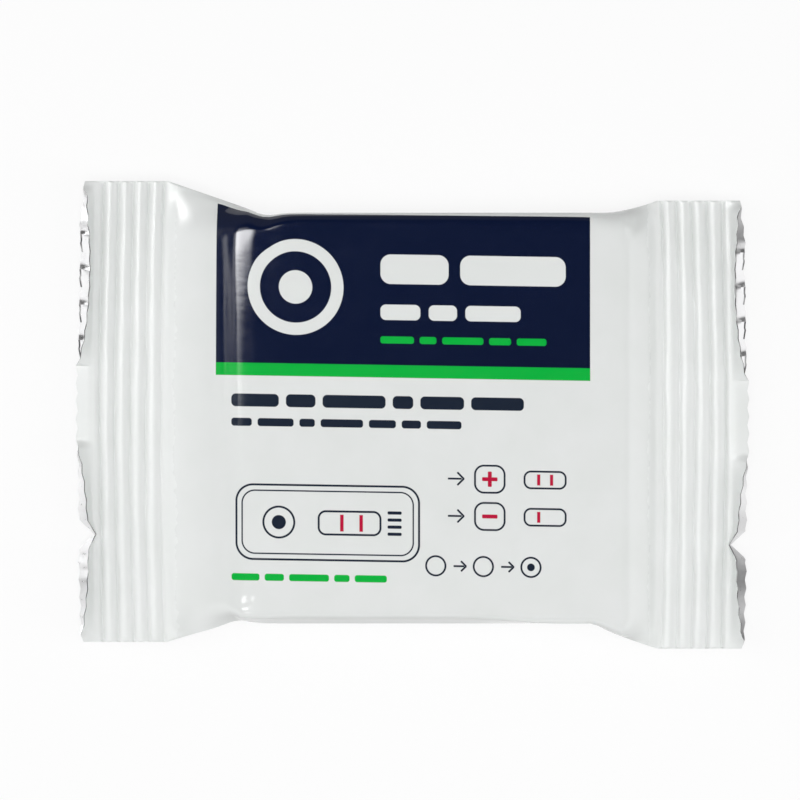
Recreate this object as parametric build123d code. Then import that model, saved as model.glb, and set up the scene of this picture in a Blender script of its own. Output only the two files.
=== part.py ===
from build123d import *
from math import pi, radians, sin, sqrt, tan
import os

# A sealed flow-wrap pouch that lies on its back, in millimetres.
# X runs along the pack, Y across it, Z up. The origin is under the middle of the pack.

# Pack
pack_length = 105.0
film = 0.15
body_width = 64.4
body_thickness = 8.6
edge_roundness = 2.0

# Slopes, where the film is drawn from each end seal up to the flat block of contents
left_slope = 12.3
right_slope = 5.3
slope_ease = 1.3

# End seals, set a little apart across the pack because the film runs askew over the contents
left_seal_width = 72.2
right_seal_width = 70.2
film_skew = 1.3

# Ribs of the end seals
rib_count = 5
rib_pitch = 2.4
rib_depth = 0.5

# Lips beyond the ribs, the front one curled up between the fin seal and the folds
lip_length = 3.1
lip_lift = 2.5
steepest_lip = 0.9

# Zig-zag cut edge and tear notches
tooth_pitch = 2.8
tooth_depth = 0.3
notch_depth = 2.7
notch_half_mouth = 2.4
notch_place = 19.2

# Fin seal, folded flat on the back
fin_width = 14.0
fin_layers = 2

# Flares, how far each side runs in from its seal before it is straight
left_flare_plus = 14.7
left_flare_minus = 11.8
right_flare_plus = 8.5
right_flare_minus = 10.0

# Worked out from the sizes above
half_length = pack_length / 2
lip_root = half_length - lip_length
seal_length = lip_length + (rib_count - 0.5) * rib_pitch
seal_start = half_length - seal_length
fin_thickness = fin_layers * film
half_thickness = body_thickness / 2
seal_height = fin_thickness + half_thickness
middle_y = (right_seal_width - left_seal_width) / 4


def film_axis(x):
    """Y of the film's own centre line at one X."""
    return middle_y - tan(radians(film_skew)) * x


def seal_sides(end):
    """Lowest and highest Y of the end seal at end -1 (left) or +1 (right)."""
    width = left_seal_width if end < 0 else right_seal_width
    centre = film_axis(end * (seal_start + half_length) / 2)
    return centre - width / 2, centre + width / 2


def slope_length(end):
    """Length of the slope from the end seal up to the contents."""
    return left_slope if end < 0 else right_slope


def flare_length(end, way):
    """Length of the flare at one end, on the minus (-1) or plus (+1) side."""
    if end < 0:
        return left_flare_plus if way > 0 else left_flare_minus
    return right_flare_plus if way > 0 else right_flare_minus


def half_height(end, inward):
    """Height of the front film above the seal plane, at a distance inward from the end seal."""
    share = min(1.0, inward / slope_length(end))
    return film + (half_thickness - film) * (1 - (1 - share) ** slope_ease)


def edge_y(end, inward, way):
    """Y of the pack's edge on the minus (-1) or plus (+1) side."""
    straight = middle_y + way * body_width / 2
    at_seal = seal_sides(end)[0 if way < 0 else 1]
    share = min(1.0, inward / flare_length(end, way))
    return at_seal + (straight - at_seal) * share


def corner(end, inward, way, up):
    """A rounded edge and half a side wall of one section: an arc, then a line to the crease.
    The wall keeps its length, so it folds out flat as the pack gets thinner."""
    height = half_height(end, inward)
    crease = Vector(end * (seal_start - inward), edge_y(end, inward, way), seal_height)
    run = sqrt(half_thickness ** 2 - height ** 2)
    tip = crease + Vector(0, -way * run, up * height)
    along_face = Vector(0, -way, 0)
    along_wall = (crease - tip).normalized()
    half_angle = radians(along_face.get_angle(along_wall)) / 2
    radius = edge_roundness * tan(half_angle)
    across = (along_face + along_wall).normalized()
    middle = tip + across * (radius / sin(half_angle) - radius)
    start = tip + along_face * edge_roundness
    stop = tip + along_wall * edge_roundness
    return [ThreePointArc(start, middle, stop), Line(stop, crease)]


def section(end, inward):
    """Outline of the filled pack at a distance inward from one end seal."""
    plus_front = corner(end, inward, 1, 1)
    plus_back = corner(end, inward, 1, -1)[::-1]
    minus_back = corner(end, inward, -1, -1)
    minus_front = corner(end, inward, -1, 1)[::-1]
    back = Line(plus_back[1] @ 0, minus_back[0] @ 0)
    front = Line(minus_front[1] @ 0, plus_front[0] @ 0)
    return Wire(plus_front + plus_back + [back] + minus_back + minus_front + [front])


def slope_stations(end):
    """Distances inward from one end seal where the slope or a flare bends."""
    places = [0.0, flare_length(end, -1), flare_length(end, 1)]
    for share in (0.25, 0.5, 0.75, 0.9, 1.0):
        places.append(slope_length(end) * share)
    return sorted(set(places))


def filled_body():
    """The contents with the film drawn tight from them to both end seals."""
    inner = [slope_stations(end)[-1] for end in (-1, 1)]
    low, high = inner[0] - seal_start, seal_start - inner[1]
    body = extrude(Face(section(-1, inner[0])), high - low, dir=(1, 0, 0))
    for end in (-1, 1):
        body += Solid.make_loft([section(end, inward) for inward in slope_stations(end)], ruled=True)
    return body


def ribs(end, y, shift):
    """The wave of the ribs at one Y, from the lips to the filled body: arcs down and up in turn."""
    arcs = []
    level = seal_height + shift
    for i in range(2 * rib_count - 1):
        start, middle, stop = (end * (lip_root - (i + step) * rib_pitch / 2) for step in (0, 0.5, 1))
        crest = rib_depth / 2 if i % 2 else -rib_depth / 2
        arcs.append(ThreePointArc((start, y, level), (middle, y, level + crest), (stop, y, level)))
    return arcs


def ribbed_strip(end, below):
    """The crimped part of an end seal, as thick below the seal plane as given."""
    low, high = seal_sides(end)
    top = ribs(end, low, film)
    bottom = ribs(end, low, -below)
    sides = [Line(top[0] @ 0, bottom[0] @ 0), Line(top[-1] @ 1, bottom[-1] @ 1)]
    return extrude(Face(Wire(top + bottom + sides)), high - low, dir=(0, 1, 0))


def teeth_count(end):
    """Whole teeth that fit along one end seal."""
    low, high = seal_sides(end)
    return round((high - low) / tooth_pitch)


def teeth(end):
    """Y and cut length of each root and tip of the zig-zag edge, from one side to the other."""
    low, high = seal_sides(end)
    count = teeth_count(end)
    step = (high - low) / (2 * count)
    return [(low + i * step, tooth_depth * ((i + 1) % 2)) for i in range(2 * count + 1)]


def flat_lip(end, below):
    """The level lip of the back film, with its zig-zag edge."""
    low, high = seal_sides(end)
    edge = [(end * (half_length - cut), y) for y, cut in teeth(end)]
    outline = Polyline((end * lip_root, low), *edge, (end * lip_root, high), close=True)
    return Pos(0, 0, seal_height - below) * extrude(make_face(outline), below, dir=(0, 0, 1))


def lift(end, y):
    """Height of the front lip's cut edge above the seal plane. It lies flat along the fin seal
    and for half a tooth at each folded side, where front and back film are one."""
    low, high = seal_sides(end)
    fold = (high - low) / (2 * teeth_count(end))
    fin_middle = film_axis(end * half_length)
    fin_low, fin_high = fin_middle - fin_width / 2, fin_middle + fin_width / 2
    share = 0.0
    if y < fin_low:
        share = (y - low - fold) / (fin_low - low - fold)
    elif y > fin_high:
        share = (high - fold - y) / (high - fold - fin_high)
    return lip_lift * sqrt(sin(pi * max(0.0, round(share, 6))))


def curled_lip(end):
    """The front film's lip, which curls up and shows the inner side of the back film."""
    sections = []
    for y, cut in teeth(end):
        length = lip_length - cut
        rise = min(lift(end, y), steepest_lip * length)
        root = end * lip_root
        tip = end * (lip_root + sqrt(length ** 2 - rise ** 2))
        corners = [
            (root, y, seal_height),
            (tip, y, seal_height + rise),
            (tip, y, seal_height + rise + film),
            (root, y, seal_height + film),
        ]
        sections.append(Wire(Polyline(*corners, close=True).edges()))
    return Solid.make_loft(sections, ruled=True)


def notch(end):
    """Wedge that cuts the V-shaped tear notch through both lips."""
    y = film_axis(end * half_length) - notch_place
    mouth = end * (half_length + tooth_depth)
    bottom = end * (half_length - notch_depth)
    outline = Polyline((mouth, y - notch_half_mouth), (bottom, y), (mouth, y + notch_half_mouth), close=True)
    lowest = seal_height - body_thickness
    return Pos(0, 0, lowest) * extrude(make_face(outline), 2 * body_thickness, dir=(0, 0, 1))


def fin_on_body():
    """The fin seal where it lies on the back of the filled body, before it is cut to width."""
    upper = []
    for end in (-1, 1):
        places = slope_stations(end) if end < 0 else slope_stations(end)[::-1]
        for inward in places:
            upper.append((end * (seal_start - inward), 0, seal_height - half_height(end, inward)))
    lower = [(x, y, z - fin_thickness) for x, y, z in reversed(upper)]
    width = 2 * fin_width
    strip = extrude(make_face(Polyline(*upper, *lower, close=True)), width, dir=(0, 1, 0))
    return Pos(0, middle_y - width / 2, 0) * strip


def fin_strip():
    """The fin seal from cut edge to cut edge, along the film's own line."""
    whole = fin_on_body()
    for end in (-1, 1):
        whole += ribbed_strip(end, film + fin_thickness)
        whole += flat_lip(end, film + fin_thickness)
    corners = []
    for x, way in ((-pack_length, -1), (pack_length, -1), (pack_length, 1), (-pack_length, 1)):
        corners.append((x, film_axis(x) + way * fin_width / 2))
    plan = make_face(Polyline(*corners, close=True))
    return whole & extrude(plan, 2 * body_thickness, dir=(0, 0, 1))


def flow_wrap_pouch():
    """The whole pack as one solid."""
    pack = filled_body()
    for end in (-1, 1):
        pack += ribbed_strip(end, film)
        pack += flat_lip(end, film)
        pack += curled_lip(end)
    pack += fin_strip()
    for end in (-1, 1):
        pack -= notch(end)
    return pack


os.makedirs("parts", exist_ok=True)
export_step(flow_wrap_pouch(), "parts/flow_wrap_pouch.step")
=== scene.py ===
from math import pi, radians, sqrt, tan

import bmesh
import bpy
import numpy as np
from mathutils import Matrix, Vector


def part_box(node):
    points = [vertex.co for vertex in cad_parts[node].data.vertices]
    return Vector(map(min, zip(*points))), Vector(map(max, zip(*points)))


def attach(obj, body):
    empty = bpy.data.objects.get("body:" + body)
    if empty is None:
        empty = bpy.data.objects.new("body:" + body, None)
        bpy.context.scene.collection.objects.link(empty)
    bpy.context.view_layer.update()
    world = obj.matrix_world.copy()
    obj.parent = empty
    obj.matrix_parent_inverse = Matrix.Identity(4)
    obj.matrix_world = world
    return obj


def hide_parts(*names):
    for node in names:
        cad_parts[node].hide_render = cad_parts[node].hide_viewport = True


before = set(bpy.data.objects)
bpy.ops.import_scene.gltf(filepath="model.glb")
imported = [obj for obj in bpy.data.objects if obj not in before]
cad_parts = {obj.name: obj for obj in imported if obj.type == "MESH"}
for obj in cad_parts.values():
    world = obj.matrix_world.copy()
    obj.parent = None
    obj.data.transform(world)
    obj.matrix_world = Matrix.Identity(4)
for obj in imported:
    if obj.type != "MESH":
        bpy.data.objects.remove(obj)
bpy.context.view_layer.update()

# A sealed flow-wrap pouch of printed foil film, lying on its back on a white table.
# Sizes are millimetres until a mesh is made. X runs along the pack, Y across it, Z up.
# A share runs from 0 at the folded side on minus Y to 1 at the one on plus Y.

MM = 0.001
POUCH = "flow_wrap_pouch"
pack_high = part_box(POUCH)[1]

# Sizes of the pack, as the solid has them
half_length = pack_high.x / MM
pack_height = pack_high.z / MM
film = 0.15
fin_thickness = 0.3
fin_width = 14.0
body_width = 64.4
edge_roundness = 2.0
left_slope = 12.3
right_slope = 5.3
slope_ease = 1.3
left_seal_width = 72.2
right_seal_width = 70.2
film_skew = 1.3
rib_count = 5
rib_pitch = 2.4
lip_length = 3.1
tooth_depth = 0.3
notch_depth = 2.7
notch_half_mouth = 2.4

half_thickness = (pack_height - fin_thickness) / 2
seal_height = fin_thickness + half_thickness
lip_root = half_length - lip_length
seal_start = lip_root - (rib_count - 0.5) * rib_pitch
mean_seal_width = (left_seal_width + right_seal_width) / 2
middle_y = (right_seal_width - left_seal_width) / 4
fin_half_share = fin_width / mean_seal_width / 2

# Teeth and place of the tear notch, the same at both ends
teeth_count = 26
notch_share = 0.2325

# Flare of each side at its left and its right end: length, and power of its curve
FLARES = {1: ((14.7, 1.0), (8.5, 1.6)), -1: ((11.8, 1.3), (10.0, 0.75))}

# Pinch of each side: depth, X and half width
PINCHES = {1: (0.35, -22.4, 2.2), -1: (0.5, -27.6, 2.6)}

# Shape of the film that the plain solid leaves out
shoulder_blur = 1.6
shoulder_roundness = 1.6
shoulder_reach = 4
flare_roundness = 2.0
flare_fade = (28, 32)
crisp_roundness = 0.8
crisp_fade = (26, 31)
extra_lean = 1.05
least_lean = 0.25
block_corner_x = -20.3
block_corner_y = 24.5
block_corner_radius = 6.0
block_corner_pull = 0.24
face_crown = 0.12
groove_depth = 0.66
seal_bow = 0.55
fold_radius = 0.3
inner_fold = 0.03
sharp_angle = 55

# Lips: rows of points, how much of each length bends, and the steepest angles of the front
# lip above and below the fin seal, in degrees
lip_rows = 10
front_knee = 0.45
back_knee = 0.6
upper_curl = 86
lower_curl = 80

# Part of the back lip that is pinched, where dashes of painted shade lie: its middle, and its reach
# to both sides, as shares
pinched_middle = 0.75
pinched_reach = 0.15

# Print: its slope in degrees, and where across the film its two materials part
print_slope = 0.94
print_parting = 4.3
ink_edge = 0.04

# Strips of the bake map that hold the front and the back film: start and width
FRONT_STRIP = (0.30, 0.69)
BACK_STRIP = (0.04, 0.25)


def ramp(value, start, stop):
    """Smooth step from 0 at start to 1 at stop."""
    share = np.clip((value - start) / (stop - start), 0, 1)
    return share * share * (3 - 2 * share)


def bell(value, middle, width):
    """Smooth bump of height 1."""
    return np.exp(-((value - middle) / width) ** 2)


def plateau(value, low, high, ease):
    """1 between low and high, and 0 beyond them."""
    return ramp(value, low - ease, low + ease) * (1 - ramp(value, high - ease, high + ease))


def film_axis(x):
    """Y of the film's own centre line."""
    return middle_y - tan(radians(film_skew)) * x


def side_y(x, way):
    """Y of the crease along one side of the pack, on the minus (-1) or plus (+1) side."""
    seal_width = left_seal_width if x < 0 else right_seal_width
    at_seal = film_axis(np.sign(x) * (seal_start + half_length) / 2) + way * seal_width / 2
    flare, power = FLARES[way][0 if x < 0 else 1]
    depth, pinch_x, pinch_width = PINCHES[way]
    pinch = depth * bell(x, pinch_x, pinch_width)
    straight = middle_y + way * body_width / 2
    share = np.clip((seal_start - abs(x)) / flare, 0, 1)
    return straight + (at_seal - straight) * (1 - share) ** power - way * pinch


def half_height(x):
    """Height of the filled pack above the seal plane, with its shoulders rounded over."""
    total = weights = 0
    for offset in np.linspace(-shoulder_blur, shoulder_blur, 21):
        weight = 1 + np.cos(pi * offset / shoulder_blur)
        place = x + offset
        share = np.clip((seal_start - abs(place)) / (left_slope if place < 0 else right_slope), 0, 1)
        total += weight * (1 - (1 - share) ** slope_ease)
        weights += weight
    share = total / weights * ramp(seal_start - abs(x), -0.1, shoulder_blur)
    return film + (half_thickness - film) * share


def wall_lean(x):
    """How far the top edge of the minus side wall stands in from its crease."""
    return extra_lean * plateau(x, -27, 14, 9) + least_lean


def rounded_corner(before, corner, after, reach):
    """Points of a curve that rounds one corner of a section."""
    start = corner + (before - corner) * reach / max(np.linalg.norm(before - corner), reach)
    stop = corner + (after - corner) * reach / max(np.linalg.norm(after - corner), reach)
    t = np.linspace(0, 1, 16)[:, None]
    return (1 - t) ** 2 * start + 2 * t * (1 - t) * corner + t ** 2 * stop


def half_section(x, shares):
    """Y, height above the seal plane and place on the film at one X, from crease to crease."""
    height = half_height(x)
    low, high = side_y(x, -1), side_y(x, 1)
    run = sqrt(max(half_thickness ** 2 - height ** 2, 0))
    from_shoulder = min(abs(x + seal_start - left_slope), abs(x - seal_start + right_slope))
    minus_reach = crisp_roundness + (edge_roundness - crisp_roundness) * ramp(abs(x), *crisp_fade)
    plus_reach = edge_roundness + shoulder_roundness * bell(from_shoulder, 0, shoulder_reach)
    plus_reach += flare_roundness * ramp(-x, *flare_fade)
    lean = max(run, wall_lean(x) * height / half_thickness)
    corners = ((low, 0), (low + lean, height), (high - max(run, least_lean), height), (high, 0))
    points = [np.array(corner) for corner in corners]
    first = rounded_corner(points[0], points[1], points[2], minus_reach)
    second = rounded_corner(points[1], points[2], points[3], plus_reach)
    outline = np.vstack([points[0], first, second, points[3]])
    along = np.concatenate([[0], np.cumsum(np.linalg.norm(np.diff(outline, axis=0), axis=1))])
    length = along[-1]
    drift = (film_axis(x) - (low + high) / 2) / length
    places = (shares + drift * ramp(shares, 0.05, 0.3) * ramp(1 - shares, 0.05, 0.3)) * length
    y, z = np.interp(places, along, outline[:, 0]), np.interp(places, along, outline[:, 1])
    crown = 1 - face_crown * (2 * shares - 1) ** 2 / half_thickness
    from_middle = places - np.interp(0.5, shares, places) + np.interp(0.5, shares, y)
    return y, np.maximum(z * crown, film * rounded_fold(y)), from_middle


def rounded_fold(y):
    """Thickness of one film near the folded sides of a row, as a share of its full one."""
    fold = np.clip(np.minimum(y - y[0], y[-1] - y) / fold_radius, 0, 1)
    return np.sqrt(1 - (1 - fold) ** 2)


def stations_along():
    """X of each row of points, from the root of the left lips to that of the right ones."""
    left_shoulder, right_shoulder = left_slope - seal_start, seal_start - right_slope
    stops = (-lip_root, -seal_start, left_shoulder + 2, 0, right_shoulder - 3, seal_start, lip_root)
    counts = (64, 34, 24, 24, 24, 64)
    runs = [np.linspace(a, b, n, endpoint=False) for a, b, n in zip(stops, stops[1:], counts)]
    return np.concatenate([*runs, [lip_root]])


def stations_across():
    """Shares across the film: six to a tooth, and more at the folds, the notch and the fin."""
    even = np.linspace(0, 1, 6 * teeth_count + 1)
    special = [0.0008, 0.0025, 0.9975, 0.9992, notch_share]
    for edge in (0.5 - fin_half_share, 0.5 + fin_half_share):
        special += [edge - 0.0016, edge - 0.0004, edge + 0.0004, edge + 0.0016]
    kept = [s for s in even if min(abs(s - t) for t in special) > 0.0012 or s in (0, 1)]
    return np.sort(np.array(kept + special))


def rib_wave(x, shares):
    """Height of the crimped ribs: broad rounded ridges with narrow grooves between them."""
    wobble = 0.03 * np.sin(9 * shares + 0.4 * x) + 0.015 * np.sin(31 * shares + x)
    turn = (abs(x) - lip_root + rib_pitch / 4) / rib_pitch + wobble
    groove = 0.35 * np.cos(pi * turn) ** 2 + 0.65 * np.abs(np.cos(pi * turn)) ** 18
    inward = (lip_root - abs(x)) / (lip_root - seal_start)
    fading = 1.1 - 0.5 * inward * ramp(1 - shares, 0.03, 0.25)
    return -groove_depth * groove * fading * ramp(abs(x), seal_start - 0.9, seal_start)


def crinkles(x, shares):
    """The fin seal pressed through under the ribs, with small pinches along its upper edge."""
    in_seal = ramp(abs(x), seal_start - 1.5, seal_start + 1)
    low, high = 0.5 - fin_half_share, 0.5 + fin_half_share - 0.006
    pinches = np.sin(4.3 * x) * np.sin(11.9 * x + 1) + 0.5 * np.sin(19 * x + 2)
    upper = bell(shares, high, 0.0035) * (0.03 + 0.035 * pinches)
    raised = ramp(shares, low - 0.03, low + 0.03) * (1 - ramp(shares, high, high + 0.006))
    return in_seal * (upper + 0.035 * raised)


# Soft folds of the front film: start, end, half width and depth
FOLDS = (
    ((37.8, 33.2), (33.0, 27.4), 0.7, 0.14),
    ((-28.0, -30.2), (-24.6, -29.0), 1.0, 0.12),
    ((-21.5, 31.5), (-24.0, 29.5), 0.6, 0.22),
)


def folds(x, y):
    """Depth of the soft folds at each point of the front."""
    total = np.zeros_like(x)
    for (x0, y0), (x1, y1), width, depth in FOLDS:
        run = (x1 - x0) ** 2 + (y1 - y0) ** 2
        along = ((x - x0) * (x1 - x0) + (y - y0) * (y1 - y0)) / run
        off = np.hypot(x - x0 - along * (x1 - x0), y - y0 - along * (y1 - y0))
        total += depth * bell(off, 0, width) * plateau(along, 0, 1, 0.15)
    return total


def corner_drop(x, y):
    """How far the film sinks where it is drawn over the rounded upper left corner of the block."""
    past_x = np.maximum(block_corner_x - x, 0)
    past_y = np.maximum(y - block_corner_y, 0)
    square = (past_x ** 6 + past_y ** 6 + block_corner_radius ** 6) ** (1 / 6)
    beyond = np.hypot(past_x, past_y) - square
    return block_corner_pull * (beyond + np.sqrt(beyond ** 2 + 0.5)) / 2


def ripples(x, y):
    """Slight waves of the drawn film."""
    waves = 0.010 * np.sin(0.55 * x + 0.1 * y) * np.sin(0.21 * y + 0.3)
    waves += 0.006 * np.sin(1.7 * x - 0.25 * y + 2) * np.sin(0.13 * y + 1.1)
    shoulder = bell(x, left_slope - seal_start - 1.5, 3.5)
    return waves + shoulder * 0.018 * np.sin(2.3 * x + 0.06 * y)


def bowed(x, shares):
    """X with both ends bowed out in their middle, the left one from further in."""
    start = 24 if x < 0 else seal_start - 5
    amount = (seal_bow / 2 - seal_bow * (2 * shares - 1) ** 2) * ramp(abs(x), start, seal_start + 3)
    return x + np.sign(x) * amount


def gathered(x, y):
    """How far the film near the plus side is drawn out of line beside its pinch."""
    return (1.9 * bell(x, -30.6, 4.2) - 0.5 * bell(x, -22.8, 1.6)) * ramp(y, 22, 32)


def sheet_rows(shares):
    """Rows of points of the front and the back film between the lips, and the film's own
    coordinates of each row, along the pack and across it."""
    xs = stations_along()
    heights = np.array([half_height(x) for x in xs])
    along = np.concatenate([[0], np.cumsum(np.hypot(np.diff(xs), np.diff(heights)))])
    along -= np.interp(0, xs, along)
    front, back, across = [], [], []
    on_fin = np.abs(shares - 0.5) < fin_half_share
    for x in xs:
        y, z, places = half_section(x, shares)
        row = np.full_like(y, x)
        pressed = (rib_wave(x, shares) + crinkles(x, shares)) * rounded_fold(y)
        free = ramp(z, 0.3, 2.0)
        sunk = (folds(row, y) + corner_drop(row, y) - ripples(row, y)) * free
        place = bowed(x, shares)
        under = seal_height - z + pressed - fin_thickness * on_fin - 0.5 * ripples(row + 9, y) * free
        front.append(np.stack([place, y, seal_height + z + pressed - sunk], 1))
        back.append(np.stack([place, y, np.maximum(under, 0)], 1))
        across.append(places + tan(radians(print_slope)) * x - gathered(x, y))
    return front, back, along, across


def cut_length(shares):
    """Length of the lips from their root to the cut edge, with its teeth and tear notch."""
    teeth = tooth_depth * np.abs(2 * ((shares * teeth_count) % 1) - 1)
    from_notch = np.abs(shares - notch_share) * mean_seal_width / notch_half_mouth
    notch = notch_depth * np.clip(1 - from_notch, 0, 1)
    corners = 0.6 * (1 - ramp(1 - shares, 0, 0.1)) + 0.35 * (1 - ramp(shares, 0, 0.03))
    return lip_length - np.maximum(teeth, notch) - corners * (1 - np.clip(1 - from_notch, 0, 1))


def front_curl(shares):
    """Steepest angle of the front lip, which lies flat along the fin seal and at both folds."""
    top = 1 - shares
    upper = np.clip(top / (0.5 - fin_half_share), 0, 1)
    lower = np.clip((top - 0.57) / 0.43, 0, 1)
    steep = upper_curl * np.sin(pi * upper) ** 0.35 + lower_curl * np.sin(pi * lower) ** 0.4
    near_fold = ramp(np.minimum(shares, top), 0, 0.028)
    return np.radians(steep * near_fold)


def from_pinch(shares):
    """Teeth from the nearest pinch of the back lip, which has one at every other tooth root."""
    return (shares * teeth_count) % 2 - 1


def back_droop(shares):
    """Steepest angle of the back lip, which hangs a little and is pinched at every other tooth."""
    top = 1 - shares
    hang = 0.30 + 0.22 * plateau(top, 0.10, 0.40, 0.015) - 0.22 * plateau(top, 0.41, 0.57, 0.01)
    hang += 0.10 * plateau(top, 0.6, 0.76, 0.03) + 0.03 * np.sin(50 * top)
    pinch = 0.35 * bell(from_pinch(shares), 0, 0.16) * plateau(top, 0.09, 0.40, 0.01)
    return (hang - pinch) * ramp(np.minimum(shares, top), 0, 0.03)


def bent(steepest, knee):
    """Reach, rise and angle at each row of a strip of length 1 that bends up at its root."""
    finer = 6
    t = np.linspace(0, 1, lip_rows * finer + 1)
    angle = steepest[None, :] * ramp(t, 0, knee)[:, None]
    steps = (angle[1:] + angle[:-1]) / 2
    start = np.zeros((1, len(steepest)))
    reach = np.concatenate([start, np.cumsum(np.cos(steps), 0)]) / (lip_rows * finer)
    rise = np.concatenate([start, np.cumsum(np.sin(steps), 0)]) / (lip_rows * finer)
    return reach[::finer], rise[::finer], angle[::finer]


def lip_strips(end, shares, front_root, back_root):
    """Rows of both lips at one end, from root to cut edge: outside and inside of the front
    lip, then inside and outside of the back lip."""
    length = cut_length(shares)
    on_fin = np.abs(shares - 0.5) < fin_half_share
    level = (front_root[:, 2] + back_root[:, 2] + fin_thickness * on_fin) / 2
    above, below = front_root[:, 2] - level, level - back_root[:, 2]
    inward = inner_fold * ((shares <= 0) * 1.0 - (shares >= 1) * 1.0)
    x, y = front_root[:, 0], front_root[:, 1]
    strips = [[], [], [], []]
    front = bent(front_curl(shares), front_knee)
    back = bent(back_droop(shares), back_knee)
    for j in range(lip_rows + 1):
        held = 1 - ramp(j / lip_rows, 0, 0.4)
        base = seal_height + (level - seal_height) * held
        reach, rise, angle = (part[j] for part in front)
        inside = (x + end * reach * length, y + inward, base + rise * length)
        strips[1].append(np.stack(inside, 1))
        outside = (inside[0] - end * above * np.sin(angle), y, inside[2] + above * np.cos(angle))
        strips[0].append(np.stack(outside, 1))
        reach, rise, angle = (part[j] for part in back)
        inside = (x + end * reach * length, y + inward, base - rise * length)
        strips[2].append(np.stack(inside, 1))
        outside = (inside[0] - end * below * np.sin(angle), y, inside[2] - below * np.cos(angle))
        strips[3].append(np.stack(outside, 1))
    return strips, length


class Skin:
    """Points and faces of the pouch, with both UV maps, gathered row by row."""

    def __init__(self):
        self.points = []
        self.faces = []
        self.slots = []
        self.film_uv = []
        self.bake_uv = []

    def row(self, points, folded_with=None):
        """Adds one row, which shares its two ends with another row at the folds."""
        first = len(self.points)
        self.points.extend(points.tolist())
        ids = np.arange(first, first + len(points))
        if folded_with is not None:
            ids[0], ids[-1] = folded_with[0], folded_with[-1]
        return ids

    def band(self, rows, slots, film_uv, bake_uv):
        """Faces between consecutive rows, with a pair of coordinates for each of their points."""
        slots = np.broadcast_to(slots, (len(rows) - 1, len(rows[0]) - 1))
        for i, k in np.ndindex(slots.shape):
            corners = ((i, k), (i + 1, k), (i + 1, k + 1), (i, k + 1))
            self.faces.append([int(rows[r][c]) for r, c in corners])
            self.slots.append(int(slots[i, k]))
            self.film_uv.extend(film_uv[r][c] for r, c in corners)
            self.bake_uv.extend(bake_uv[r][c] for r, c in corners)


# Material slots of the skin; the last one is painted shade, near black, on the cut edges and beside
# the back lip's pinches
UPPER_PRINT, LOWER_PRINT, BACK, FOIL, PAINTED_EDGE_SHADE = range(5)


def pairs(first, second):
    """A grid of pairs from two grids, or from one number a row and one number a station."""
    first, second = np.broadcast_arrays(first, second)
    return np.stack([first, second], 2)


def build_skin():
    """The whole pouch as one closed skin: front film, back film and four lips."""
    skin = Skin()
    shares = stations_across()
    front, back, along, across = sheet_rows(shares)
    front_ids = [skin.row(row) for row in front]
    back_ids = [skin.row(row, ids) for row, ids in zip(back, front_ids)]
    front_rows, back_rows = list(front_ids), list(back_ids)
    a_rows, b_rows = [np.full_like(shares, a) for a in along], list(across)
    edges = {}
    for end in (1, -1):
        root = -1 if end > 0 else 0
        strips, length = lip_strips(end, shares, front[root], back[root])
        outer_front = [skin.row(row) for row in strips[0][1:]]
        inner_front = [skin.row(row) for row in strips[1]]
        inner_back = [inner_front[0]]
        inner_back += [skin.row(row, ids) for row, ids in zip(strips[2][1:], inner_front[1:])]
        outer_back = [skin.row(row, ids) for row, ids in zip(strips[3][1:], outer_front)]
        steps = [length * j / lip_rows for j in range(1, lip_rows + 1)]
        lip_a = [along[root] + end * step for step in steps]
        if end > 0:
            front_rows, back_rows = front_rows + outer_front, back_rows + outer_back
            a_rows, b_rows = a_rows + lip_a, b_rows + [across[root]] * lip_rows
        else:
            front_rows, back_rows = outer_front[::-1] + front_rows, outer_back[::-1] + back_rows
            a_rows, b_rows = lip_a[::-1] + a_rows, [across[root]] * lip_rows + b_rows
        edges[end] = (outer_front[-1], inner_front, inner_back, outer_back[-1])
    a, b = np.array(a_rows), np.array(b_rows)
    film_uv = np.stack([a, b], 2)
    level = (a[:, len(shares) // 2] - a.min()) / (a.max() - a.min())
    lengthwise = 0.01 + 0.98 * level[:, None]
    front_slots = np.where(b[:-1, :-1] > print_parting, UPPER_PRINT, LOWER_PRINT)
    front_uv = pairs(lengthwise, FRONT_STRIP[0] + FRONT_STRIP[1] * shares[None, :])
    back_uv = pairs(lengthwise[::-1], BACK_STRIP[0] + BACK_STRIP[1] * shares[None, :])
    skin.band(front_rows, front_slots, film_uv, front_uv)
    skin.band(back_rows[::-1], BACK, film_uv[::-1], back_uv)
    for end, (front_edge, inner_front, inner_back, back_edge) in edges.items():
        rows = [front_edge] + inner_front[::-1] + inner_back[1:] + [back_edge]
        across_lips = np.linspace(0.002, 0.036, len(rows))
        slots = lip_slots(len(rows), shares)
        if end < 0:
            rows, slots = rows[::-1], slots[::-1]
        start = 0.51 if end > 0 else 0.01
        inner_uv = pairs(start + 0.48 * shares[None, :], across_lips[:, None])
        skin.band(rows, slots, inner_uv * mean_seal_width, inner_uv)
    return skin


def lip_slots(row_count, shares):
    """Material slots of the lips' inner side: foil, with painted shade on the cut edges, and
    dashes of painted shade on the back lip's foil beside every other pinch."""
    slots = np.full((row_count - 1, len(shares) - 1), FOIL)
    # The cut edges get painted shade: a near-black line where shade falls along the lips.
    slots[0] = slots[-1] = PAINTED_EDGE_SHADE
    between = (shares[:-1] + shares[1:]) / 2
    pinched = np.abs(pinched_middle - between) < pinched_reach
    painted_dashes = (from_pinch(between) < 0) & pinched
    # Painted shade: dark dashes on the last strip of the back lip's foil, at every other tooth.
    slots[-2, painted_dashes] = PAINTED_EDGE_SHADE
    return slots


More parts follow.
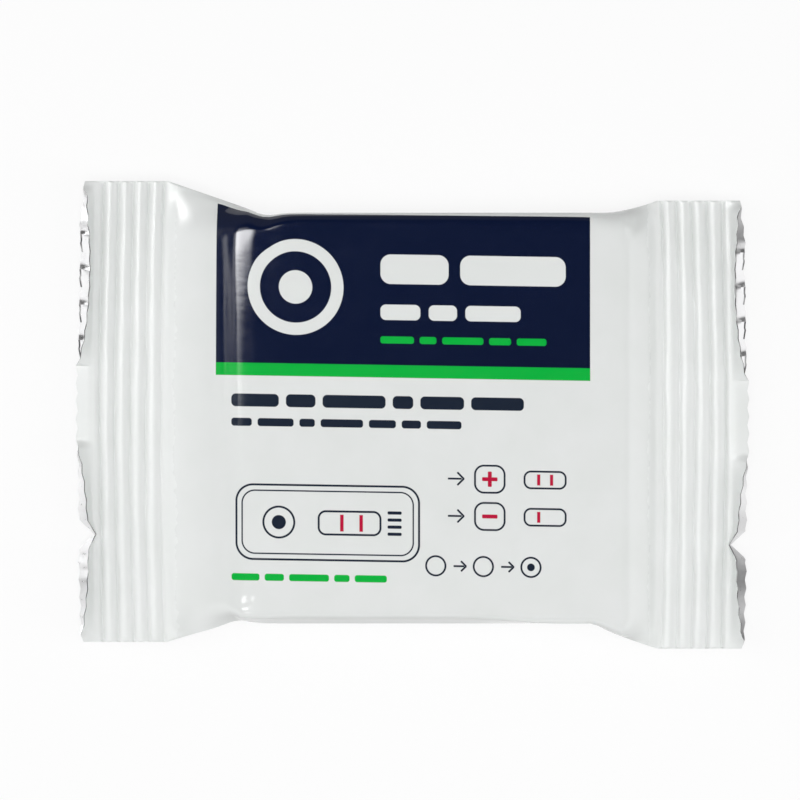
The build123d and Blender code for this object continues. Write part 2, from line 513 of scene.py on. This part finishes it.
def build_pouch(materials):
    """The mesh object of the whole pouch, in metres."""
    skin = build_skin()
    mesh = bpy.data.meshes.new("pouch_film")
    mesh.from_pydata([tuple(c * MM for c in point) for point in skin.points], [], skin.faces)
    mesh.polygons.foreach_set("material_index", skin.slots)
    mesh.polygons.foreach_set("use_smooth", [True] * len(skin.faces))
    for name, values in (("OFBake", skin.bake_uv), ("film", skin.film_uv)):
        layer = mesh.uv_layers.new(name=name)
        layer.data.foreach_set("uv", np.array(values).ravel())
    for material in materials:
        mesh.materials.append(material)
    tidy = bmesh.new()
    tidy.from_mesh(mesh)
    loose = [v for v in tidy.verts if not v.link_faces]
    bmesh.ops.delete(tidy, geom=loose, context="VERTS")
    for edge in tidy.edges:
        edge.smooth = len(edge.link_faces) == 2 and edge.calc_face_angle() < radians(sharp_angle)
    tidy.to_mesh(mesh)
    tidy.free()
    pouch = bpy.data.objects.new("pouch_film", mesh)
    bpy.context.collection.objects.link(pouch)
    return pouch


# Materials

class Tree:
    """Short ways to add nodes to one node tree."""

    def __init__(self, tree):
        self.tree = tree
        tree.nodes.clear()

    def add(self, kind, *inputs, **settings):
        """A node with its first inputs linked or set, in order."""
        node = self.tree.nodes.new(kind)
        for name, value in settings.items():
            setattr(node, name, value)
        for socket, value in zip(node.inputs, inputs):
            self.feed(socket, value)
        return node

    def feed(self, socket, value):
        """Links a socket to another one, or sets its value."""
        if isinstance(value, bpy.types.NodeSocket):
            self.tree.links.new(value, socket)
        else:
            socket.default_value = value

    def math(self, operation, *inputs):
        """Result of one operation on numbers."""
        return self.add("ShaderNodeMath", *inputs, operation=operation).outputs[0]

    def vector(self, operation, *inputs):
        """Result of one operation on vectors."""
        node = self.add("ShaderNodeVectorMath", *inputs, operation=operation)
        return node.outputs["Value" if operation == "LENGTH" else "Vector"]

    def noise(self, place, scale, detail=2.0):
        """A noise from 0 to 1."""
        node = self.add("ShaderNodeTexNoise", place)
        node.inputs["Scale"].default_value = scale
        node.inputs["Detail"].default_value = detail
        return node.outputs["Fac"]

    def spread(self, value, low, high, from_low=0.0, from_high=1.0):
        """The value on a new range."""
        return self.add("ShaderNodeMapRange", value, from_low, from_high, low, high).outputs[0]

    def mix(self, share, first, second):
        """A blend of two colours."""
        node = self.add("ShaderNodeMix", data_type="RGBA")
        for name, value in (("Factor_Float", share), ("A_Color", first), ("B_Color", second)):
            self.feed(next(s for s in node.inputs if s.identifier == name), value)
        return next(s for s in node.outputs if s.identifier == "Result_Color")


def box_distance():
    """A node group that gives the distance to a rounded box of the print."""
    group = bpy.data.node_groups.new("rounded_box", "ShaderNodeTree")
    face = group.interface
    for name in ("Place", "Centre", "Half"):
        face.new_socket(name, in_out="INPUT", socket_type="NodeSocketVector")
    for name in ("Radius", "Angle"):
        face.new_socket(name, in_out="INPUT", socket_type="NodeSocketFloat")
    face.new_socket("Distance", in_out="OUTPUT", socket_type="NodeSocketFloat")
    t = Tree(group)
    given = t.add("NodeGroupInput").outputs
    moved = t.vector("SUBTRACT", given["Place"], given["Centre"])
    turned = t.add("ShaderNodeVectorRotate", moved, rotation_type="Z_AXIS")
    t.feed(turned.inputs["Angle"], given["Angle"])
    inset = t.vector("SUBTRACT", given["Half"], given["Radius"])
    outside = t.vector("SUBTRACT", t.vector("ABSOLUTE", turned.outputs[0]), inset)
    outside = t.vector("MULTIPLY", outside, (1, 1, 0))
    corner = t.vector("LENGTH", t.vector("MAXIMUM", outside, (0, 0, 0)))
    parts = t.add("ShaderNodeSeparateXYZ", outside).outputs
    inner = t.math("MINIMUM", t.math("MAXIMUM", parts[0], parts[1]), 0.0)
    t.add("NodeGroupOutput", t.math("SUBTRACT", t.math("ADD", corner, inner), given["Radius"]))
    return group


def box(centre, size, radius=0.0, angle=0.0, line=None):
    """One shape of the print, filled or as an outline of the given line width."""
    return {"centre": centre, "size": size, "radius": radius, "angle": angle, "line": line}


def words(left, y, height, widths, gap):
    """A row of rounded bars that stand for words."""
    shapes = []
    for width in widths:
        shapes.append(box((left + width / 2, y), (width, height), height * 0.35))
        left += width + gap
    return shapes


NAVY = (0.0040, 0.0085, 0.0330, 1)
GREEN = (0.0020, 0.4600, 0.0480, 1)
INK = (0.0130, 0.0200, 0.0370, 1)
RED = (0.5100, 0.0080, 0.0450, 1)
WHITE = (0.7900, 0.8100, 0.7950, 1)

# Places of the print, in the film's own millimetres
panel_left, panel_right = -30.7, 27.6
panel_bottom, panel_top = 5.75, 31.3
band_height = 1.95
text_left = -28.2


def panel_shapes():
    """The navy panel and the green band along its foot."""
    middle = (panel_left + panel_right) / 2
    width = panel_right - panel_left
    navy = box((middle, (panel_bottom + panel_top) / 2), (width, panel_top - panel_bottom))
    green = box((middle, panel_bottom + band_height / 2), (width, band_height))
    return [(NAVY, [navy]), (GREEN, [green])]


def panel_marks():
    """Plain marks on the navy panel: a ringed disc, two heavy bars and a thin line of words."""
    ring = box((-18.2, 19.6), (13.0, 13.0), 6.5, line=1.9)
    disc = box((-18.2, 19.6), (5.2, 5.2), 2.6)
    heavy = words(-5.0, 22.6, 4.6, (10.6, 16.4), 1.8) + words(-5.0, 15.9, 2.4, (6.2, 4.4, 8.6), 1.3)
    thin = words(-5.0, 11.6, 1.1, (5.2, 2.6, 6.4, 3.4, 4.6), 0.9)
    return [(WHITE, [ring, disc] + heavy), (GREEN, thin)]


def plain_words():
    """Two rows of dark bars under the panel."""
    first = words(text_left, 1.9, 2.0, (7.4, 4.6, 9.8, 3.2, 6.8, 8.2), 1.1)
    second = words(text_left, -1.5, 1.25, (3.2, 5.6, 2.4, 6.6, 4.2, 3.0, 5.4), 0.9)
    return [(INK, first + second)]


def cassette_diagram():
    """Outlines of a plain flat cassette with a round well and a window with two lines."""
    line = 0.32
    left, middle = -27.4, -17.0
    shapes = [box((left + 14.2, middle), (28.4, 11.6), 2.6, line=line)]
    shapes += [box((left + 14.2, middle), (26.6, 9.8), 2.0, line=line * 0.7)]
    shapes += [box((left + 6.6, middle), (4.8, 4.8), 2.4, line=line)]
    shapes += [box((left + 17.6, middle), (9.6, 3.6), 1.1, line=line)]
    shapes += [box((left + 24.6, middle + dy), (2.2, 0.5), 0.2) for dy in (-1.6, -0.5, 0.6, 1.7)]
    dark = [box((left + 6.6, middle), (2.2, 2.2), 1.1)]
    lines = [box((left + dx, middle), (0.55, 2.6)) for dx in (16.4, 19.4)]
    return [(INK, shapes + dark), (RED, lines)]


def arrow(x, y, size):
    """A small arrow that points to the right."""
    shapes = [box((x - size * 0.1, y), (size * 0.9, 0.3), 0.1)]
    for way in (1, -1):
        middle = (x + size * 0.28, y + way * size * 0.2)
        shapes.append(box(middle, (size * 0.62, 0.3), 0.1, radians(way * 45)))
    return shapes


def result_boxes():
    """Small boxes with a plus and a minus, each beside a small window with lines."""
    ink, red = [], []
    x = 12.0
    for y, plus in ((-9.8, True), (-15.6, False)):
        ink += [box((x, y), (4.6, 4.2), 1.4, line=0.3)]
        red += [box((x, y), (2.4, 0.62), 0.15)]
        if plus:
            red += [box((x, y), (0.62, 2.4), 0.15)]
        ink += arrow(x - 5.2, y, 2.4)
        ink += [box((x + 8.6, y), (6.4, 2.6), 1.0, line=0.3)]
        red += [box((x + 7.6 + 2.0 * i, y), (0.5, 1.7)) for i in range(2 if plus else 1)]
    return [(INK, ink), (RED, red)]


def foot_marks():
    """A row of small circles joined by arrows, over a thin green line of words."""
    ink = []
    for i in range(3):
        ink += [box((3.6 + 7.4 * i, -23.4), (3.0, 3.0), 1.5, line=0.3)]
    for i in range(2):
        ink += arrow(7.4 + 7.4 * i, -23.4, 1.9)
    ink += [box((18.4, -23.4), (1.2, 1.2), 0.6)]
    return [(INK, ink), (GREEN, words(text_left, -25.6, 1.1, (4.4, 3.0, 6.2, 2.4, 5.0), 0.8))]


def printed(tree, place, colour, layers):
    """The print over the film's own colour, one layer after another."""
    distance = bpy.data.node_groups.get("rounded_box") or box_distance()
    for ink, shapes in layers:
        nearest = None
        for shape in shapes:
            half = tuple(side / 2 for side in shape["size"])
            values = (place, (*shape["centre"], 0), (*half, 0), shape["radius"], shape["angle"])
            node = tree.add("ShaderNodeGroup", node_tree=distance)
            for socket, value in zip(node.inputs, values):
                tree.feed(socket, value)
            found = node.outputs[0]
            if shape["line"]:
                found = tree.math("SUBTRACT", tree.math("ABSOLUTE", found), shape["line"] / 2)
            nearest = found if nearest is None else tree.math("MINIMUM", nearest, found)
        inked = tree.spread(nearest, 1.0, 0.0, -ink_edge, ink_edge)
        colour = tree.mix(inked, colour, ink)
    return colour


def new_material(name):
    """A material's tree and its shader, already joined to the output."""
    material = bpy.data.materials.new(name)
    material.use_nodes = True
    tree = Tree(material.node_tree)
    shader = tree.add("ShaderNodeBsdfPrincipled")
    tree.add("ShaderNodeOutputMaterial", shader.outputs[0])
    return material, tree, shader


def film_place(tree):
    """The film's own coordinates, in millimetres."""
    return tree.add("ShaderNodeUVMap", uv_map="film").outputs[0]


def film_finish(tree, shader, place, gloss):
    """Gloss of the lacquer, duller in the crimped seals, and the fine unevenness of a laminate."""
    stretched = tree.vector("MULTIPLY", place, (0.45, 1.0, 1.0))
    fine = tree.noise(stretched, 0.9, 3.0)
    broad = tree.noise(stretched, 0.16, 2.0)
    uneven = tree.math("ADD", fine, broad)
    along = tree.add("ShaderNodeSeparateXYZ", place).outputs[0]
    crimped = tree.spread(tree.math("ABSOLUTE", along), 0.0, 0.24, 34.0, 39.0)
    smooth = tree.spread(uneven, gloss * 0.7, gloss * 1.5, 0.6, 1.4)
    tree.feed(shader.inputs["Roughness"], tree.math("ADD", smooth, crimped))
    shader.inputs["IOR"].default_value = 1.58
    bump = tree.add("ShaderNodeBump")
    bump.inputs["Strength"].default_value = 0.15
    bump.inputs["Distance"].default_value = 0.00003
    tree.feed(bump.inputs["Height"], tree.math("ADD", fine, tree.math("MULTIPLY", broad, 2.0)))
    tree.feed(shader.inputs["Normal"], bump.outputs[0])


def white_ground(tree, place):
    """White ink over foil, a little uneven in tone."""
    cloud = tree.spread(tree.noise(place, 0.12, 3.0), 0.0, 1.0, 0.3, 0.7)
    return tree.mix(cloud, (0.775, 0.795, 0.780, 1), (0.805, 0.820, 0.812, 1))


def printed_film(name, layers):
    """Front of the pack: gloss laminate with its print."""
    material, tree, shader = new_material(name)
    place = film_place(tree)
    colour = printed(tree, place, white_ground(tree, place), layers)
    tree.feed(shader.inputs["Base Color"], colour)
    film_finish(tree, shader, place, 0.09)
    return material


def plain_film():
    """Back of the pack: the same laminate, plain."""
    material, tree, shader = new_material("plain_film")
    place = film_place(tree)
    tree.feed(shader.inputs["Base Color"], white_ground(tree, place))
    film_finish(tree, shader, place, 0.12)
    return material


def foil():
    """Inner side of the laminate: bare aluminium foil, seen in the open lips."""
    material, tree, shader = new_material("foil")
    place = film_place(tree)
    fine = tree.noise(place, 3.0, 3.0)
    colour = tree.mix(fine, (0.66, 0.66, 0.665, 1), (0.78, 0.78, 0.785, 1))
    tree.feed(shader.inputs["Base Color"], colour)
    shader.inputs["Metallic"].default_value = 1.0
    tree.feed(shader.inputs["Roughness"], tree.spread(fine, 0.22, 0.38))
    return material


def painted_edge_shade():
    """Painted shade for the cut edges of the laminate and for dashes beside the back lip's pinches:
    near black, uneven with a noise.
    """
    material, tree, shader = new_material("painted_edge_shade")
    place = film_place(tree)
    uneven = tree.noise(place, 0.9, 2.0)
    tone = tree.spread(uneven, 0.0, 1.0, 0.45, 0.6)
    tree.feed(shader.inputs["Base Color"], tree.mix(tone, (0.06, 0.06, 0.065, 1), (0.4, 0.4, 0.4, 1)))
    shader.inputs["Roughness"].default_value = 0.5
    return material


# Studio

def white_to_camera(tree, share):
    """The share, for rays that the camera, gloss or glass sends, and 0 for others."""
    path = tree.add("ShaderNodeLightPath").outputs
    seen = tree.math("MAXIMUM", path["Is Camera Ray"], path["Is Glossy Ray"])
    seen = tree.math("MAXIMUM", seen, path["Is Transmission Ray"])
    return tree.math("MULTIPLY", seen, share)


def build_floor():
    """A white table that keeps a faint shadow."""
    mesh = bpy.data.meshes.new("floor")
    reach = 3.0
    corners = [(x * reach, y * reach, 0) for x, y in ((-1, -1), (1, -1), (1, 1), (-1, 1))]
    mesh.from_pydata(corners, [], [(0, 1, 2, 3)])
    floor = bpy.data.objects.new("floor", mesh)
    bpy.context.collection.objects.link(floor)
    material = bpy.data.materials.new("table_white")
    material.use_nodes = True
    tree = Tree(material.node_tree)
    lit = tree.add("ShaderNodeBsdfDiffuse", (0.9, 0.9, 0.9, 1)).outputs[0]
    white = tree.add("ShaderNodeEmission", (1, 1, 1, 1), 1.0).outputs[0]
    mixed = tree.add("ShaderNodeMixShader", white_to_camera(tree, 0.85), lit, white).outputs[0]
    tree.add("ShaderNodeOutputMaterial", mixed)
    mesh.materials.append(material)


# Cards of light that gloss shows: where each begins, is full, ends to be full and ends, as
# tangents from straight up to the left and then towards plus Y, and its strength
CARDS = (
    ((0.22, 0.46, 0.50, 0.53), (-0.01, 0.05, 0.45, 0.60), 4.5),
    ((0.60, 0.62, 0.645, 0.665), (0.0, 0.05, 0.30, 0.40), 3.0),
    ((0.10, 0.20, 0.56, 0.58), (0.045, 0.062, 0.34, 0.42), 13.0),
    ((0.08, 0.15, 0.30, 0.36), (-0.42, -0.36, -0.22, -0.16), 7.0),
)


def between_edges(tree, value, edges):
    """1 between the inner edges, and 0 beyond the outer ones."""
    rising = tree.spread(value, 0.0, 1.0, edges[0], edges[1])
    return tree.math("MULTIPLY", rising, tree.spread(value, 1.0, 0.0, edges[2], edges[3]))


def room_tone(tree):
    """Tone of the room in each direction: a dark ceiling over pale walls, which dim towards
    plus Y, with cards of light."""
    direction = tree.add("ShaderNodeTexCoord").outputs["Generated"]
    x, y, z = tree.add("ShaderNodeSeparateXYZ", direction).outputs
    walls = tree.spread(z, 1.4, 0.02, 0.62, 0.80)
    tone = tree.math("MULTIPLY", walls, tree.spread(y, 1.0, 0.12, 0.25, 0.55))
    up = tree.math("MAXIMUM", z, 0.05)
    left = tree.math("MULTIPLY", tree.math("DIVIDE", x, up), -1.0)
    back = tree.math("DIVIDE", y, up)
    for left_edges, back_edges, strength in CARDS:
        across = between_edges(tree, left, left_edges)
        card = tree.math("MULTIPLY", across, between_edges(tree, back, back_edges))
        tone = tree.math("ADD", tone, tree.math("MULTIPLY", card, strength))
    return tone


def build_world():
    """White to the camera, the room to gloss, and an even fill to everything else."""
    world = bpy.data.worlds.new("studio")
    bpy.context.scene.world = world
    world.use_nodes = True
    tree = Tree(world.node_tree)
    path = tree.add("ShaderNodeLightPath").outputs
    white = tree.add("ShaderNodeBackground", (1, 1, 1, 1), 1.0).outputs[0]
    room = tree.add("ShaderNodeBackground", (1, 1, 1, 1), room_tone(tree)).outputs[0]
    fill = tree.add("ShaderNodeBackground", (0.97, 0.985, 1.0, 1), 0.12).outputs[0]
    gloss = tree.math("MAXIMUM", path["Is Glossy Ray"], path["Is Transmission Ray"])
    lit = tree.add("ShaderNodeMixShader", gloss, fill, room).outputs[0]
    seen = tree.add("ShaderNodeMixShader", path["Is Camera Ray"], lit, white).outputs[0]
    tree.add("ShaderNodeOutputWorld", seen)


def softbox(name, place, size, watts):
    """A rectangular lamp that faces the middle of the pack. Gloss shows the room's cards instead."""
    lamp = bpy.data.lights.new(name, "AREA")
    lamp.shape = "RECTANGLE"
    lamp.size, lamp.size_y = size
    lamp.energy = watts
    holder = bpy.data.objects.new(name, lamp)
    bpy.context.collection.objects.link(holder)
    holder.location = place
    holder.rotation_euler = Vector(place).to_track_quat("Z", "Y").to_euler()
    holder.visible_glossy = False


def build_lights():
    """Softboxes close by at both ends and a square one overhead."""
    softbox("left_box", (-0.26, 0.00, 0.20), (0.20, 0.40), 0.50)
    softbox("right_box", (0.26, -0.06, 0.20), (0.20, 0.40), 0.50)
    softbox("high_box", (-0.02, -0.06, 0.60), (0.30, 0.30), 1.62)


def build_camera():
    """Straight above the pack, in the frame of the photograph."""
    view_width = 125.4
    centre_x, centre_y = -1.96, 2.32
    lens = 150.0
    camera_data = bpy.data.cameras.new("camera")
    camera_data.lens = lens
    camera_data.sensor_width = 36.0
    camera_data.clip_start = 0.01
    camera = bpy.data.objects.new("camera", camera_data)
    bpy.context.collection.objects.link(camera)
    distance = view_width * lens / camera_data.sensor_width
    camera.location = (centre_x * MM, centre_y * MM, (seal_height + distance) * MM)
    bpy.context.scene.camera = camera


def dress():
    """Puts the film in the place of the plain solid."""
    upper = printed_film("upper_print", panel_shapes() + panel_marks())
    lower_layers = plain_words() + cassette_diagram() + result_boxes() + foot_marks()
    lower = printed_film("lower_print", lower_layers)
    pouch = build_pouch([upper, lower, plain_film(), foil(), painted_edge_shade()])
    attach(pouch, "root")
    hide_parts(POUCH)


bpy.context.scene.view_settings.view_transform = "Standard"
build_camera()
build_world()
build_lights()
build_floor()
dress()
